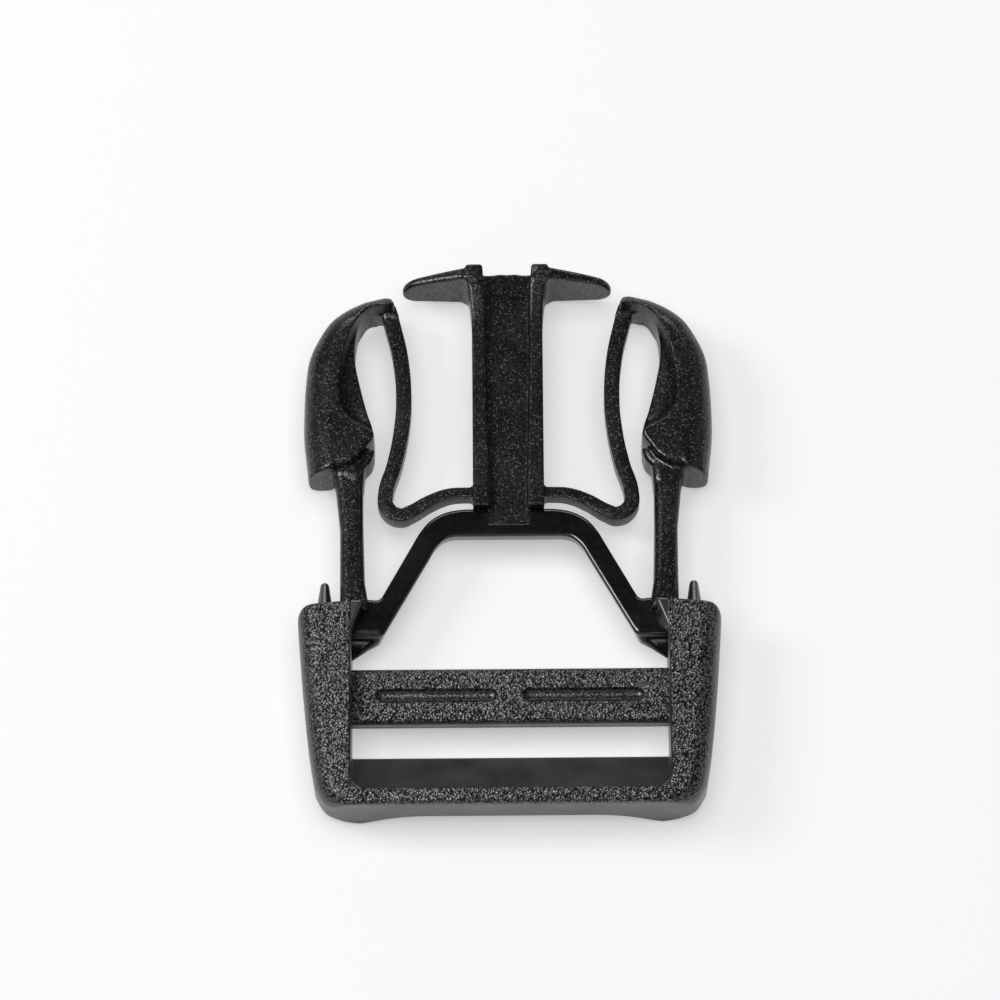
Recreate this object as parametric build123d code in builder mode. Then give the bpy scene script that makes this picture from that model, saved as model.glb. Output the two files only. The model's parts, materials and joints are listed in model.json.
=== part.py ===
from build123d import *
import os

# Plug half of a side-release buckle with a strap adjuster frame, moulded in one piece in acetal.
# Millimetres. X is the width, Y points to the nose, Z is up from the face that it lies on.
# The origin is under the middle of the overall box. The right half is drawn; the left is its mirror.

# Driving sizes
webbing_width = 25.0
webbing_room = 1.3
rail_width = 4.55
frame_length = 17.7
plug_length = 29.9
height = 6.2

# Webbing frame: two side rails, a rear bar and a slider bar
rail_taper = 1.7
rail_bow = 0.35
rail_front_round = 1.1
rail_rear_round = 1.9
edge_round = 0.8
corner_inset = 1.05
corner_length = 2.6
rim_width = 1.3
rear_bar_depth = 4.9
ramp_edge_top = 2.8
ramp_edge_thickness = 1.6
arch_height = 1.4
arch_margin = 2.2
arch_slope = 1.35
rear_slot = 2.6
slider_depth = 4.8
slider_thickness = 2.0
slider_round = 0.7
groove_length = 10.0
groove_width = 1.1
groove_depth = 0.5
groove_centre = 6.1

# Yoke: a bridge and two splayed legs that carry the post
yoke_length = 8.65
yoke_height = 2.0
bridge_thickness = 2.5
notch_depth = 1.4
bridge_half = 3.7
shoulder_reach = 3.87
shoulder_drop = 2.21
elbow_start = 0.7
elbow_reach = 1.65
elbow_drop = 0.96
leg_thickness = 2.0
leg_foot_inset = 1.45
leg_foot_rise = 0.98
leg_foot_length = 3.0
gusset_thickness = 0.9
gusset_side = 3.0
gusset_reach = 1.5

# Centre post with its H section, and the nose wings
post_half = 2.98
flange_thickness = 1.13
web_thickness = 1.64
flange_height = 4.0
flare_length = 5.8
flare_out = 0.74
flare_inner = 0.35
nose_height = 6.0
nose_rise_length = 4.8
wing_length = 5.87
wing_setback = 0.3
wing_sweep = 0.7
wing_root_thickness = 1.0
wing_tip_thickness = 0.6
wing_tip_height = 2.6

# Prongs: a flexing arm and a latch head on each side
arm_neck = 1.5
arm_width = 2.05
arm_height = 3.6
arm_lean = 0.28
arm_length = 11.1
head_height = 6.0
head_round = 1.0
head_setback = 2.25
bow_length = 6.25
barb_inset = 0.9
bulge_inset = 0.52
tip_inset = 3.35
tip_cut = 0.65
dome_slant = 2.7
dome_step = 0.7

# Springs: a ribbon from the head's tip, round a bend and across to the post
spring_width = 1.2
short_limb_width = 1.05
spring_height = 1.9
spring_drop = 2.15
spring_bow = 0.92
bend_height = 2.15

# Nibs that stop the latch housing
nib_offset = 2.25
nib_width = 0.95
nib_tip_width = 0.5
nib_length = 2.3
nib_height = 2.6

# Clearances between pieces that turn on each other or pass close by
knuckle_clearance = 0.06
shoulder_gap = 0.3
bend_clearance = 1.02
post_gap = 0.1

# Places that follow from the sizes
middle = height / 2
slot_half = (webbing_width + webbing_room) / 2
side_x = slot_half + rail_width
overall_length = frame_length + plug_length
rear_y = -overall_length / 2
nose_y = overall_length / 2
rail_front_y = rear_y + frame_length
slot_front_y = rear_y + rear_bar_depth
slider_y = slot_front_y + rear_slot + slider_depth / 2
yoke_bottom = middle - yoke_height / 2
bridge_y = rail_front_y + yoke_length
post_inner = post_half - flange_thickness
arm_x = slot_half - 0.05
arm_pivot = (arm_x, rail_front_y)
head_base_y = rail_front_y + arm_length
head_tip_y = nose_y - head_setback
spring_x = arm_x - tip_inset
spring_y = head_tip_y - spring_drop
bend_y = bridge_y + bend_height
bend_x = arm_x - arm_width / 2 - bend_clearance - spring_width / 2
bend_pivot = (bend_x - 1.35, bridge_y - 0.5)
limb_inflection = (bend_x - 2.55, bridge_y - 0.05)
limb_end = (post_half + post_gap, bridge_y + 1.47)


def save(piece, name):
    piece.label = name
    export_step(piece, f"parts/{name}.step")


def save_pair(piece, name):
    save(piece, f"right_{name}")
    save(mirror(piece, about=Plane.YZ), f"left_{name}")


def slab(thickness):
    """Sketch plane for a slab of this thickness, centred on the parting plane."""
    return Plane.XY.offset(middle - thickness / 2)


def side_rail():
    """Rail from the arm root to the rear corner, with a rolled outer edge."""
    rear_x = side_x - rail_taper
    front_y = rail_front_y
    with BuildPart() as rail:
        with BuildSketch():
            with BuildLine():
                outer = ThreePointArc(
                    (side_x, front_y - rail_front_round),
                    ((side_x + rear_x) / 2 + rail_bow, (front_y + rear_y) / 2),
                    (rear_x, rear_y + rail_rear_round),
                )
                front = TangentArc(
                    outer @ 0, (side_x - rail_front_round, front_y), tangent=outer % 0 * -1
                )
                rear = TangentArc(
                    outer @ 1, (rear_x - rail_rear_round, rear_y), tangent=outer % 1
                )
                Polyline(
                    rear @ 1,
                    (slot_half, rear_y),
                    (slot_half, front_y - corner_length),
                    (slot_half - corner_inset, front_y),
                    front @ 1,
                )
            make_face()
        extrude(amount=height)
        outside = rail.faces().sort_by(Axis.X)[-1]
        fillet(outside.edges().filter_by(Plane.XY), edge_round)
        with BuildSketch():
            with Locations(arm_pivot):
                Circle(arm_neck / 2 + knuckle_clearance)
        extrude(amount=height, mode=Mode.SUBTRACT)
    return rail.part


def rear_bar():
    """Bar with a ramp up to the rim, standing on its two ends with an arch between."""
    ramp_top_y = rear_y + rim_width
    with BuildPart() as bar:
        with BuildSketch(Plane.YZ.offset(-slot_half)):
            with BuildLine():
                Polyline(
                    (slot_front_y, ramp_edge_top - ramp_edge_thickness),
                    (slot_front_y, ramp_edge_top),
                    (ramp_top_y, height),
                    (rear_y, height),
                    (rear_y, 0),
                    (slot_front_y - ramp_edge_thickness, 0),
                    close=True,
                )
            make_face()
        extrude(amount=2 * slot_half)
        along = bar.edges().filter_by(Axis.X)
        fillet(along.group_by(Axis.Y)[0], edge_round)
        fillet(along.group_by(Axis.Y)[-1], ramp_edge_thickness / 2.2)
        with BuildSketch(Plane.XZ.offset(-nose_y)):
            with BuildLine():
                foot_x = slot_half - arch_margin + arch_slope
                crown_x = slot_half - arch_margin - arch_slope
                Polyline(
                    (-foot_x, 0), (-crown_x, arch_height), (crown_x, arch_height), (foot_x, 0),
                    close=True,
                )
            arch = make_face()
            fillet(arch.vertices().group_by(Axis.Y)[-1], 2 * arch_slope)
        extrude(amount=overall_length, mode=Mode.SUBTRACT)
    return bar.part


def slider_bar():
    """Flat bar that the webbing doubles back over, with two grooves on each face."""
    with BuildPart() as bar:
        with BuildSketch(Plane.YZ.offset(-slot_half)):
            with Locations((slider_y, middle)):
                RectangleRounded(slider_depth, slider_thickness, slider_round)
        extrude(amount=2 * slot_half)
        for face_z in (middle + slider_thickness / 2, middle - slider_thickness / 2):
            with BuildSketch(Plane.XY.offset(face_z)):
                with Locations((-groove_centre, slider_y), (groove_centre, slider_y)):
                    SlotOverall(groove_length, groove_width)
            extrude(amount=groove_depth, both=True, mode=Mode.SUBTRACT)
    return bar.part


def yoke_bridge():
    """Crossbar of the yoke, notched for the web of the post."""
    with BuildPart() as bridge:
        with BuildSketch(Plane.XY.offset(yoke_bottom)):
            with Locations((0, bridge_y - bridge_thickness / 2)):
                Rectangle(2 * bridge_half, bridge_thickness)
        extrude(amount=yoke_height)
        with BuildSketch(Plane.XY.offset(middle - web_thickness / 2)):
            with Locations((0, bridge_y - notch_depth / 2)):
                Rectangle(2 * post_inner, notch_depth)
        extrude(amount=height, mode=Mode.SUBTRACT)
    return bridge.part


def yoke_leg():
    """Leg from the bridge down to the inner corner of the rail."""
    inner_y = bridge_y - bridge_thickness
    corner = (slot_half - corner_inset, rail_front_y)
    corner_foot = (slot_half, rail_front_y - corner_length)
    with BuildPart() as leg:
        with BuildSketch(Plane.XY.offset(yoke_bottom)):
            with BuildLine():
                shoulder = TangentArc(
                    (bridge_half, bridge_y),
                    (bridge_half + shoulder_reach, bridge_y - shoulder_drop),
                    tangent=(1, 0),
                )
                flank = Line(
                    shoulder @ 1, (corner[0] - leg_foot_inset, rail_front_y + leg_foot_rise)
                )
                across = (flank % 1).rotate(Axis.Z, -90) * leg_thickness
                foot_inner = flank @ 1 + across + (flank % 1) * leg_foot_length
                under = Line((bridge_half, inner_y), (bridge_half + elbow_start, inner_y))
                elbow = TangentArc(
                    under @ 1,
                    (bridge_half + elbow_start + elbow_reach, inner_y - elbow_drop),
                    tangent=under % 1,
                )
                Polyline(elbow @ 1, foot_inner, corner_foot, corner, flank @ 1)
                Line(under @ 0, shoulder @ 0)
            make_face()
        extrude(amount=yoke_height)
    return leg.part


def yoke_gusset(leg, rail):
    """Thin web that fills the lower corner between the leg and the rail."""
    low_y = rail_front_y - corner_length - gusset_reach
    with BuildPart() as gusset:
        with BuildSketch(Plane.XY.offset(yoke_bottom)):
            with BuildLine():
                curve = ThreePointArc(
                    (slot_half, low_y),
                    (slot_half - gusset_side / 2, low_y + gusset_side / 4),
                    (slot_half - gusset_side, low_y + gusset_side),
                )
                Polyline(curve @ 1, (slot_half, low_y + gusset_side), curve @ 0)
            make_face()
        extrude(amount=gusset_thickness)
        add(leg, mode=Mode.SUBTRACT)
        add(rail, mode=Mode.SUBTRACT)
    return gusset.part


def post_outline(half_width, start_y, flare):
    """Half of the post's plan out to one of its long faces, flaring at the nose."""
    with BuildLine() as outline:
        base = Line((0, start_y), (half_width, start_y))
        face = Line(base @ 1, (half_width, nose_y - flare_length))
        nose = TangentArc(face @ 1, (half_width + flare, nose_y), tangent=face % 1)
        Polyline(nose @ 1, (0, nose_y), base @ 0)
    return outline.line


def post_web():
    """Floor between the flanges, passing through the bridge's notch."""
    with BuildPart() as web:
        with BuildSketch(slab(web_thickness)):
            with BuildLine():
                add(post_outline(post_inner, bridge_y, flare_inner))
            make_face()
            with Locations((0, bridge_y - notch_depth)):
                Rectangle(post_inner, notch_depth, align=(Align.MIN, Align.MIN))
            mirror(about=Plane.YZ)
        extrude(amount=web_thickness)
    return web.part


def post_flange():
    """Long wall of the post, which rises to the full height at the nose."""
    low = flange_height / 2
    high = nose_height / 2
    rise_y = nose_y - nose_rise_length
    with BuildPart() as flange:
        with BuildSketch(slab(nose_height)):
            with BuildLine():
                add(post_outline(post_half, bridge_y, flare_out))
            make_face()
            with BuildLine():
                add(post_outline(post_inner, bridge_y, flare_inner))
            make_face(mode=Mode.SUBTRACT)
        extrude(amount=nose_height)
        with BuildSketch(Plane.YZ):
            with BuildLine():
                Polyline(
                    (bridge_y, middle + low), (rise_y, middle + low), (nose_y, middle + high),
                    (nose_y, middle - high), (rise_y, middle - low), (bridge_y, middle - low),
                    close=True,
                )
            make_face()
        extrude(amount=side_x, mode=Mode.INTERSECT)
    return flange.part


def nose_wing(flange):
    """Blade from the nose of the post outwards, lower towards its rounded tip."""
    end_x = post_half + wing_length
    face_y = nose_y - wing_setback
    tip_y = face_y - wing_sweep
    root = nose_height / 2
    tip = wing_tip_height / 2
    with BuildPart() as wing:
        with BuildSketch(slab(nose_height)):
            with BuildLine():
                Polyline(
                    (post_half, face_y), (end_x, tip_y), (end_x, tip_y - wing_tip_thickness),
                    (post_half, face_y - wing_root_thickness), close=True,
                )
            make_face()
        extrude(amount=nose_height)
        with BuildSketch(Plane.XZ):
            with BuildLine():
                Polyline(
                    (post_half, middle + root), (end_x, middle + tip), (end_x, middle - tip),
                    (post_half, middle - root), close=True,
                )
            blade = make_face()
            fillet(blade.vertices().group_by(Axis.X)[-1], wing_tip_height / 2.2)
        extrude(amount=-overall_length, mode=Mode.INTERSECT)
        add(flange, mode=Mode.SUBTRACT)
    return wing.part


def nib():
    """Tapered stop on the front face of the rail."""
    nib_x = slot_half + nib_offset
    tip_y = rail_front_y + nib_length
    with BuildPart() as stop:
        with BuildSketch(slab(nib_height)):
            with BuildLine():
                Polyline(
                    (nib_x - nib_width / 2, rail_front_y), (nib_x + nib_width / 2, rail_front_y),
                    (nib_x + nib_tip_width / 2, tip_y), (nib_x - nib_tip_width / 2, tip_y),
                    close=True,
                )
            outline = make_face()
            fillet(outline.vertices().group_by(Axis.Y)[-1], nib_tip_width / 2.2)
        extrude(amount=nib_height)
    return stop.part


def arm():
    """Arm of a prong. Its neck turns in the rail's front face, where the moulding bends."""
    shoulder_y = rail_front_y + shoulder_gap
    half = arm_width / 2
    with BuildPart() as bar:
        with BuildSketch(slab(arm_height)):
            with BuildLine():
                Polyline(
                    (arm_x - half, shoulder_y), (arm_x + half, shoulder_y),
                    (arm_x + half + arm_lean, head_base_y), (arm_x - half + arm_lean, head_base_y),
                    close=True,
                )
            make_face()
            with Locations((arm_x, rail_front_y + shoulder_gap / 2)):
                Rectangle(arm_neck, shoulder_gap)
            with Locations(arm_pivot):
                Circle(arm_neck / 2)
        extrude(amount=arm_height)
        flanks = bar.edges().filter_by(Plane.XY).filter_by(lambda e: e.length > arm_length / 2)
        fillet(flanks, arm_height / 6)
    return bar.part


def head_outline():
    """Plan of the latch head: outer bow, tip, the side of the spring's hole, lobe and barb."""
    barb_x = side_x - barb_inset
    bow_y = head_tip_y - bow_length
    arm_left = arm_x + arm_lean - arm_width / 2
    half_spring = spring_width / 2
    with BuildLine() as outline:
        flank = ThreePointArc(
            (barb_x, head_base_y),
            (side_x - bulge_inset, (head_base_y + bow_y) / 2),
            (barb_x + 0.08, bow_y),
        )
        bow = TangentArc(flank @ 1, (spring_x + 0.05, head_tip_y), tangent=flank % 1)
        seat = Polyline(
            bow @ 1,
            (spring_x - tip_cut, head_tip_y - tip_cut),
            (spring_x - half_spring - 0.15, spring_y),
            (spring_x + half_spring + 0.3, spring_y),
        )
        hole_top = ThreePointArc(
            seat @ 1, (spring_x + 2.2, spring_y + 0.1), (spring_x + 2.95, spring_y - 1.2)
        )
        hole_side = TangentArc(
            hole_top @ 1, (arm_left - 0.9, head_base_y + 4.5), tangent=hole_top % 1
        )
        lobe = ThreePointArc(
            hole_side @ 1, (arm_left - 1.15, head_base_y + 3), (arm_left - 0.35, head_base_y + 1.4)
        )
        Polyline(lobe @ 1, (arm_left, head_base_y), flank @ 0)
    return outline.line


def latch_head():
    """Latch head: a middle slab with the barb, and a dome above and below it."""
    inner_x = arm_x - arm_width
    below = head_base_y - 1
    with BuildPart() as head:
        with BuildSketch(slab(head_height)):
            with BuildLine():
                add(head_outline())
            make_face()
        extrude(amount=head_height)
        outside = head.faces().sort_by(Axis.X)[-1]
        fillet(outside.edges().filter_by(Plane.XY), head_round)
        for low_z in (middle - head_height / 2, middle + arm_height / 2):
            with BuildSketch(Plane.XY.offset(low_z)):
                with BuildLine():
                    Polyline(
                        (inner_x, head_base_y + dome_step + dome_slant),
                        (side_x, head_base_y + dome_step), (side_x, below), (inner_x, below),
                        close=True,
                    )
                make_face()
            extrude(amount=(head_height - arm_height) / 2, mode=Mode.SUBTRACT)
        with BuildSketch():
            with Locations((spring_x, spring_y)):
                Circle(spring_width / 2 + knuckle_clearance)
        extrude(amount=height, mode=Mode.SUBTRACT)
    return head.part


def long_limb():
    """Long limb of the spring with its bend, and the heading on which it ends."""
    bow_point = (spring_x - spring_bow, (spring_y + bend_y) / 2)
    with BuildPart() as limb:
        with BuildSketch(slab(spring_height)):
            with BuildLine():
                bow = ThreePointArc((spring_x, spring_y), bow_point, (bend_x - 0.3, bend_y))
                turn = TangentArc(bow @ 1, (bend_x, bend_y - bend_height / 2), tangent=bow % 1)
                bend = TangentArc(turn @ 1, bend_pivot, tangent=turn % 1)
            trace(line_width=spring_width)
            with Locations((spring_x, spring_y), bend_pivot):
                Circle(spring_width / 2)
        extrude(amount=spring_height)
    return limb.part, bend % 1


def short_limb(heading):
    """Short limb of the spring, from the knuckle at the bend to just short of the post."""
    with BuildPart() as limb:
        with BuildSketch(slab(spring_height)):
            with BuildLine():
                rise = TangentArc(bend_pivot, limb_inflection, tangent=heading)
                TangentArc(rise @ 1, limb_end, tangent=rise % 1)
            trace(line_width=short_limb_width)
            with Locations(bend_pivot):
                Circle(spring_width / 2 + knuckle_clearance, mode=Mode.SUBTRACT)
        extrude(amount=spring_height)
    return limb.part


os.makedirs("parts", exist_ok=True)
rail = side_rail()
leg = yoke_leg()
flange = post_flange()
long_part, bend_heading = long_limb()
save_pair(rail, "side_rail")
save(rear_bar(), "rear_bar")
save(slider_bar(), "slider_bar")
save(yoke_bridge(), "yoke_bridge")
save_pair(leg, "yoke_leg")
save_pair(yoke_gusset(leg, rail), "yoke_gusset")
save(post_web(), "post_web")
save_pair(flange, "post_flange")
save_pair(nose_wing(flange), "nose_wing")
save_pair(nib(), "nib")
save_pair(arm(), "arm")
save_pair(latch_head(), "latch_head")
save_pair(long_part, "spring_long_limb")
save_pair(short_limb(bend_heading), "spring_short_limb")
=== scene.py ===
"""Looks of a moulded buckle plug: its skins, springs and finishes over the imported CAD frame."""

import json
import math

import bpy
import numpy as np
from mathutils import Matrix, Vector


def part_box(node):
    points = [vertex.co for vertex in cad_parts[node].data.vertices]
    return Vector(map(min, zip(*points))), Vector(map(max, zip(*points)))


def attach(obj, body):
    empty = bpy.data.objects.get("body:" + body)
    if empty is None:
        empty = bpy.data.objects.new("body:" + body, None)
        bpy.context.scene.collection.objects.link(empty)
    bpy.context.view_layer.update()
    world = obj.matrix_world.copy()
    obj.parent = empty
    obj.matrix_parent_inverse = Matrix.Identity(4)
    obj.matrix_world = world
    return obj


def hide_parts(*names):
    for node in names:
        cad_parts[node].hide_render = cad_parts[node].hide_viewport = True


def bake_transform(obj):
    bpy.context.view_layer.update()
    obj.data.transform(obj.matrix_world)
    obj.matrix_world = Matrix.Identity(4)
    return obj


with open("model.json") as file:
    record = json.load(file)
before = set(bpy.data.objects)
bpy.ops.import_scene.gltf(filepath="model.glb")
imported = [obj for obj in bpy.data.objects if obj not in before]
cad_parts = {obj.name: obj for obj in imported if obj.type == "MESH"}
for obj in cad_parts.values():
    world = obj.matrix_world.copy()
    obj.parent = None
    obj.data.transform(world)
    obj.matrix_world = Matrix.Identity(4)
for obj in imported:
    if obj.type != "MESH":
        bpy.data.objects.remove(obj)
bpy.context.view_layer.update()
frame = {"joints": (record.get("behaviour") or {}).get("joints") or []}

bl_info = {
    "name": "Buckle plug with webbing frame",
    "version": (1, 0, 0),
    "blender": (4, 5, 0),
    "location": "View3D > Sidebar > Buckle plug",
    "description": "Moulded skins, ribbon springs and acetal finishes of a buckle plug",
    "category": "Object",
}

MM = 1000.0


def corners(node):
    """Lowest and highest corner of a CAD node in millimetres."""
    low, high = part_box(node)
    return np.array(low) * MM, np.array(high) * MM


def pivot(joint):
    """Place of a joint in plan, in millimetres."""
    place = next(found["pos_m"] for found in frame["joints"] if found["name"] == joint)
    return np.array(place[:2]) * MM


# Places taken from the CAD, in millimetres. The right half is drawn and mirrored.
RAIL_LOW, RAIL_HIGH = corners("right_side_rail")
BAR_LOW, BAR_HIGH = corners("slider_bar")
BRIDGE_LOW, BRIDGE_HIGH = corners("yoke_bridge")
WEB_LOW, WEB_HIGH = corners("post_web")
FLANGE_HIGH = corners("right_post_flange")[1]
WING_HIGH = corners("right_nose_wing")[1]
HEAD_HIGH = corners("right_latch_head")[1]
LIMB_LOW, LIMB_HIGH = corners("right_spring_long_limb")
ARM_X, ARM_Y = pivot("right_squeeze")
TIP_X, TIP_Y = pivot("right_tip_flex")
BEND_X, BEND_Y = pivot("right_bend_flex")
SIDE = RAIL_HIGH[0]
FRONT = RAIL_HIGH[1]
REAR = RAIL_LOW[1]
TOP = RAIL_HIGH[2]
# Height of the mould's parting plane, half the slot's width, and the front edge of the rear bar.
MID = TOP / 2
SLOT = BAR_HIGH[0]
RAMP = REAR + 4.9


# ---------------------------------------------------------------- outlines and fields

def rounded(points, steps=10):
    """Closed outline whose corners (x, y, radius) are rounded by arcs; points (x, y) stay as they are."""
    outline = []
    for i, (x, y, *rest) in enumerate(points):
        radius = rest[0] if rest else 0
        here = np.array((x, y))
        back = np.array(points[i - 1][:2]) - here
        ahead = np.array(points[(i + 1) % len(points)][:2]) - here
        if radius == 0:
            outline.append((x, y))
            continue
        back = back / np.linalg.norm(back)
        ahead = ahead / np.linalg.norm(ahead)
        half = math.acos(np.clip(back @ ahead, -1, 1)) / 2
        middle = back + ahead
        centre = here + middle / np.linalg.norm(middle) * radius / math.sin(half)
        first = here + back * radius / math.tan(half) - centre
        last = here + ahead * radius / math.tan(half) - centre
        start = math.atan2(first[1], first[0])
        turn = (math.atan2(last[1], last[0]) - start + math.pi) % (2 * math.pi) - math.pi
        for t in np.linspace(0, 1, steps):
            angle = start + turn * t
            outline.append((centre[0] + radius * math.cos(angle), centre[1] + radius * math.sin(angle)))
    return outline


def flowing(points, steps=6):
    """Smooth open curve through the points, without its first and last, which set its ends' directions."""
    p = [np.array(q, float) for q in points]
    curve = []
    for a, b, c, d in zip(p, p[1:], p[2:], p[3:]):
        for t in np.linspace(0, 1, steps, endpoint=False):
            curve.append(tuple(
                0.5 * (2 * b + (c - a) * t + (2 * a - 5 * b + 4 * c - d) * t**2
                       + (3 * b - a - 3 * c + d) * t**3)
            ))
    return curve + [tuple(p[-2])]


def distance(outline, x, y):
    """Signed distance to a closed outline, negative inside it."""
    shape = np.broadcast(x, y).shape
    best = np.full(shape, 1e9)
    inside = np.zeros(shape, bool)
    for (ax, ay), (bx, by) in zip(outline, outline[1:] + outline[:1]):
        ex, ey = bx - ax, by - ay
        length = ex * ex + ey * ey
        if length < 1e-12:
            continue
        wx, wy = x - ax, y - ay
        t = np.clip((wx * ex + wy * ey) / length, 0, 1)
        best = np.minimum(best, (wx - ex * t) ** 2 + (wy - ey * t) ** 2)
        if ay != by:
            inside ^= ((y >= ay) != (y >= by)) & (wx < ex * wy / ey)
    return np.where(inside, -1, 1) * np.sqrt(best)


def join(a, b, blend):
    """Union of two fields with a fillet of about this size."""
    h = np.maximum(blend - np.abs(a - b), 0) / blend
    return np.minimum(a, b) - h * h * blend / 4


def meet(a, b, blend):
    """Common part of two fields with an edge rounded to about this size."""
    return -join(-a, -b, blend)


def ease(a, b, value):
    """Smooth step from 0 at a to 1 at b."""
    t = np.clip((value - a) / (b - a), 0, 1)
    return t * t * (3 - 2 * t)


def rolled(edge, z, half, wide, tall):
    """Slab about the parting plane whose rim rolls over as an ellipse, wide in plan and tall in height."""
    u = (edge + wide) / wide
    v = (np.abs(z - MID) - (half - tall)) / tall
    reach = np.hypot(np.maximum(u, 0), np.maximum(v, 0))
    return (np.minimum(np.maximum(u, v), 0) + reach - 1) * np.minimum(wide, tall)


def skin(field, low, high, cell):
    """Vertices in millimetres and quads of the surface where a field is zero (surface nets)."""
    # The odd fraction of a cell keeps flat faces off the grid's planes.
    low = np.array(low, float) - 2.37 * cell
    lines = [np.arange(a, b + 3.5 * cell, cell) for a, b in zip(low, high)]
    x, y, z = lines[0][:, None, None], lines[1][None, :, None], lines[2][None, None, :]
    values = np.broadcast_to(field(x, y, z), [len(line) for line in lines])
    inside = values < 0
    offsets = np.array([(i, j, k) for i in (0, 1) for j in (0, 1) for k in (0, 1)])
    count = sum(
        inside[i:inside.shape[0] - 1 + i, j:inside.shape[1] - 1 + j, k:inside.shape[2] - 1 + k].astype(int)
        for i, j, k in offsets
    )
    cells = np.argwhere((count > 0) & (count < 8))
    number = np.full(count.shape, -1)
    number[tuple(cells.T)] = np.arange(len(cells))
    at_corners = values[tuple((cells[:, None, :] + offsets).transpose(2, 0, 1))]
    total = np.zeros((len(cells), 3))
    hits = np.zeros(len(cells))
    for a in range(8):
        for b in range(a + 1, 8):
            step = offsets[b] - offsets[a]
            if np.abs(step).sum() != 1:
                continue
            one, two = at_corners[:, a], at_corners[:, b]
            crossed = (one < 0) != (two < 0)
            t = np.where(crossed, one / np.where(crossed, one - two, 1), 0)
            total += crossed[:, None] * (offsets[a] + t[:, None] * step)
            hits += crossed
    points = low + (cells + total / hits[:, None]) * cell
    # Two steps along the field's slope bring each vertex onto the surface.
    h = cell * 0.1
    for _ in range(2):
        value = field(*points.T)
        slope = np.stack(
            [(field(*(points + e).T) - field(*(points - e).T)) / (2 * h) for e in np.eye(3) * h], 1
        )
        move = value[:, None] * slope / np.maximum((slope**2).sum(1), 0.2)[:, None]
        points = points - np.clip(move, -cell / 3, cell / 3)
    quads = []
    for axis in range(3):
        near = np.delete(inside, -1, axis)
        far = np.delete(inside, 0, axis)
        edges = np.argwhere(near != far)
        u, w = (axis + 1) % 3, (axis + 2) % 3
        ring = []
        for du, dw in ((-1, -1), (0, -1), (0, 0), (-1, 0)):
            cell_at = edges.copy()
            cell_at[:, u] += du
            cell_at[:, w] += dw
            ring.append(number[tuple(cell_at.T)])
        quad = np.stack(ring, 1)
        reverse = far[tuple(edges.T)]
        quad[reverse] = quad[reverse][:, ::-1]
        quads.append(quad)
    return points, np.concatenate(quads)


def solid(name, points, faces, material, mirror=False):
    """Mesh object from points in millimetres, mirrored to the left when asked."""
    if mirror:
        points = points * (-1, 1, 1)
        faces = faces[:, ::-1]
    mesh = bpy.data.meshes.new(name)
    mesh.from_pydata((points / MM).tolist(), [], faces.tolist())
    mesh.validate()
    mesh.shade_smooth()
    mesh.materials.append(material)
    made = bpy.data.objects.new(name, mesh)
    bpy.context.scene.collection.objects.link(made)
    return made


def mark(made, name, values):
    """Stores one number for each vertex of a piece, for its material to read."""
    layer = made.data.attributes.new(name, "FLOAT", "POINT")
    layer.data.foreach_set("value", np.ascontiguousarray(values, np.float32))


def fine(cell):
    return cell


# ---------------------------------------------------------------- shapes of the pieces

def frame_field(x, y, z):
    """Webbing frame: rails with rolled sides, rear bar with its ramp, rim and arch, and the nibs."""
    x = np.abs(x)
    side = flowing([
        (SIDE, FRONT + 6), (SIDE, FRONT + 2), (SIDE - 0.05, FRONT - 1), (SIDE - 0.22, FRONT - 3.4),
        (SIDE - 0.56, FRONT - 7.9), (SIDE - 1.0, FRONT - 12.3), (SIDE - 1.45, REAR + 2.4),
        (SIDE - 1.7, REAR + 1.5), (SIDE - 2.5, REAR + 0.35), (SIDE - 3.9, REAR), (SIDE - 6, REAR),
    ])
    outer = distance([(-6, FRONT + 2)] + side + [(-6, REAR)], x, y)
    # The rails are rolled over far more than the rear bar.
    around = ease(SLOT - 0.8, SLOT + 2.2, x)
    body = rolled(outer, z, MID, 0.35 + 1.35 * around, 0.4 + 1.6 * around)
    # The rails' front faces fall back a little at their outer corners.
    front = distance(rounded([
        (-8, FRONT + 1.8), (SIDE + 0.05, FRONT - 0.45, 1.2), (SIDE + 0.3, REAR - 6), (-8, REAR - 6)]), x, y)
    front = np.maximum(front, y - FRONT)
    body = meet(body, front, 0.35)
    window = distance(rounded([
        (-6, 0), (SLOT - 3.5, 0), (SLOT, FRONT - 2.6, 0.3), (SLOT, REAR + 1.3, 1.35),
        (-6, REAR + 1.3)]), x, y)
    body = meet(body, -window, 0.2)
    # Section of the rear bar: its ramp, its flat rim and its round front edge.
    profile = distance(rounded([
        (RAMP, 2.8, 0.65), (REAR + 1.15, 5.85), (REAR + 0.6, 5.85), (REAR + 0.6, 0),
        (RAMP - 1.6, 0, 0.5), (RAMP, 1.2, 0.65)]), y, z)
    ramp = meet(profile, x - SLOT - 0.5, 0.1)
    body = join(body, ramp, 0.12)
    # Arch under the rear bar, whose ends slope up from the ground.
    arch_height = 2.0
    slope = (x - (SLOT - 0.85)) * 0.486 + z * 0.874
    body = meet(body, -meet(z - arch_height, slope - 0.1, 1.0), 0.3)
    # Nibs: oval pegs on the rails' front faces, half as wide at the tip.
    nib_length = 2.3
    along = np.clip((y - FRONT) / nib_length, -0.2, 1)
    wide = 0.68 - 0.34 * along
    tall = 1.5 - 0.9 * along
    nib = (np.hypot((x - SLOT - 2.25) / wide, (z - MID) / tall) - 1) * wide
    nib = meet(nib, y - (FRONT + nib_length), 0.2)
    nib = meet(nib, FRONT - 0.8 - y, 0.1)
    return join(body, nib, 0.35)


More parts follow.
